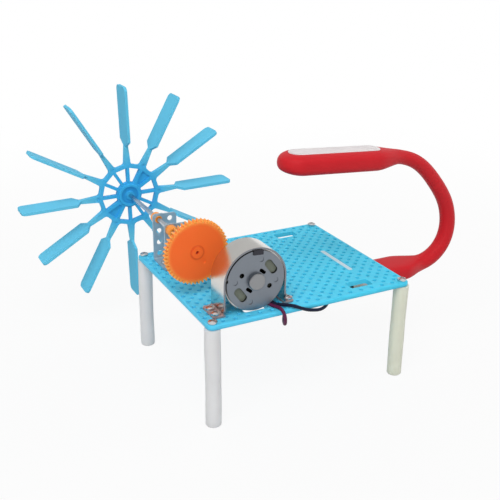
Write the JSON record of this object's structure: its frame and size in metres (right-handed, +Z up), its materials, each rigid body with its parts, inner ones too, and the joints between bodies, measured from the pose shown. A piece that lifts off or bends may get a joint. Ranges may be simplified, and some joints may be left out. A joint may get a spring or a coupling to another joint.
{
  "type": "water wheel generator model",
  "caption": "Tabletop hydro generator model: a paddle wheel drives a spur gear and a small flat motor on a perforated plate on legs, with a plug-in bendable lamp.",
  "frame": {"origin": "on the ground under the middle of the model's box, measured without the loose leads", "axes": "+Z up; +X along the plate's long side, from the wheel's side to the lamp's neck; +Y from the motor's face to the wheel"},
  "size_m": [0.1722, 0.1109, 0.1104],
  "materials": {
    "sky_plastic": "moulded gloss",
    "strip_plastic": "milky",
    "leg_plastic": "milky, lets some light through",
    "screw_steel": "bright zinc",
    "bracket_steel": "galvanised",
    "bush_plastic": "satin",
    "shaft_steel": "ground",
    "wheel_plastic": "moulded gloss",
    "gear_plastic": "satin",
    "can_steel": "drawn",
    "end_steel": "zinc plated",
    "magnet": "ferrite",
    "holder_plastic": "satin",
    "brush_carbon": "carbon",
    "bearing_brass": "sintered",
    "core_steel": "stacked sheet",
    "copper": "enamelled",
    "pinion_plastic": "satin",
    "strap_steel": "bright zinc",
    "lead_black": "soft sleeve",
    "lead_red": "soft sleeve",
    "tape": "foam tape",
    "shell_steel": "tin plated",
    "white_plastic": "satin",
    "board_green": "solder mask",
    "chip_black": "satin",
    "coil_grey": "ferrite",
    "solder": "solder",
    "lamp_silicone": "soft touch",
    "led_white": "solder mask",
    "led_yellow": "phosphor",
    "lens_plastic": "frosted"
  },
  "bodies": {
    "stand": {"base_plate": "sky_plastic", "slot_strip": "strip_plastic", "leg_front_left": "leg_plastic", "leg_front_right": "leg_plastic", "leg_back_left": "leg_plastic", "leg_back_right": "leg_plastic", "leg_screws": "screw_steel", "shaft_bracket": "bracket_steel", "bracket_screw": "screw_steel", "front_bush": "bush_plastic", "rear_bush": "bush_plastic", "motor_can": "can_steel", "motor_end_plate": "end_steel", "motor_magnets": "magnet", "brush_holder": "holder_plastic", "brushes": "brush_carbon", "rear_bearing": "bearing_brass", "end_bearing": "bearing_brass", "motor_strap": "strap_steel", "strap_screws": "screw_steel", "black_lead": "lead_black", "red_lead": "lead_red", "tape_pad": "tape", "usb_socket": "shell_steel", "socket_tongue": "white_plastic", "usb_board": "board_green", "board_chip": "chip_black", "board_coil": "coil_grey", "wire_terminals": "solder"},
    "wheel": {"wheel_shaft": "shaft_steel", "water_wheel": "wheel_plastic", "drive_gear": "gear_plastic"},
    "rotor": {"motor_shaft": "shaft_steel", "armature_core": "core_steel", "armature_coils": "copper", "commutator": "copper", "motor_pinion": "pinion_plastic"},
    "lamp": {"plug_shell": "shell_steel", "plug_tongue": "white_plastic", "lamp_base": "lamp_silicone", "lamp_neck": "lamp_silicone"},
    "lamp_top": {"lamp_head": "lamp_silicone", "led_board": "led_white", "led_chips": "led_yellow", "lamp_lens": "lens_plastic"}
  },
  "joints": [
    {"name": "wheel_spin", "type": "hinge", "parent": "stand", "child": "wheel", "pos_m": [-0.0368, 0, 0.0611], "axis": [0, 1, 0], "continuous": true},
    {"name": "rotor_spin", "type": "hinge", "parent": "stand", "child": "rotor", "pos_m": [-0.02278, -0.04, 0.05522], "axis": [0, 1, 0], "continuous": true},
    {"name": "lamp_unplug", "type": "slide", "parent": "stand", "child": "lamp", "axis": [1, 0, 0], "range_m": [0, 0.014]},
    {"name": "lamp_bend", "type": "hinge", "parent": "lamp", "child": "lamp_top", "pos_m": [0.0828, -0.0298, 0.057], "axis": [0, 1, 0], "range_deg": [-12, 60], "deforming": ["lamp_neck"]}
  ],
  "couplings": [
    {"joint": "rotor_spin", "follows": "wheel_spin", "ratio": -5}
  ]
}
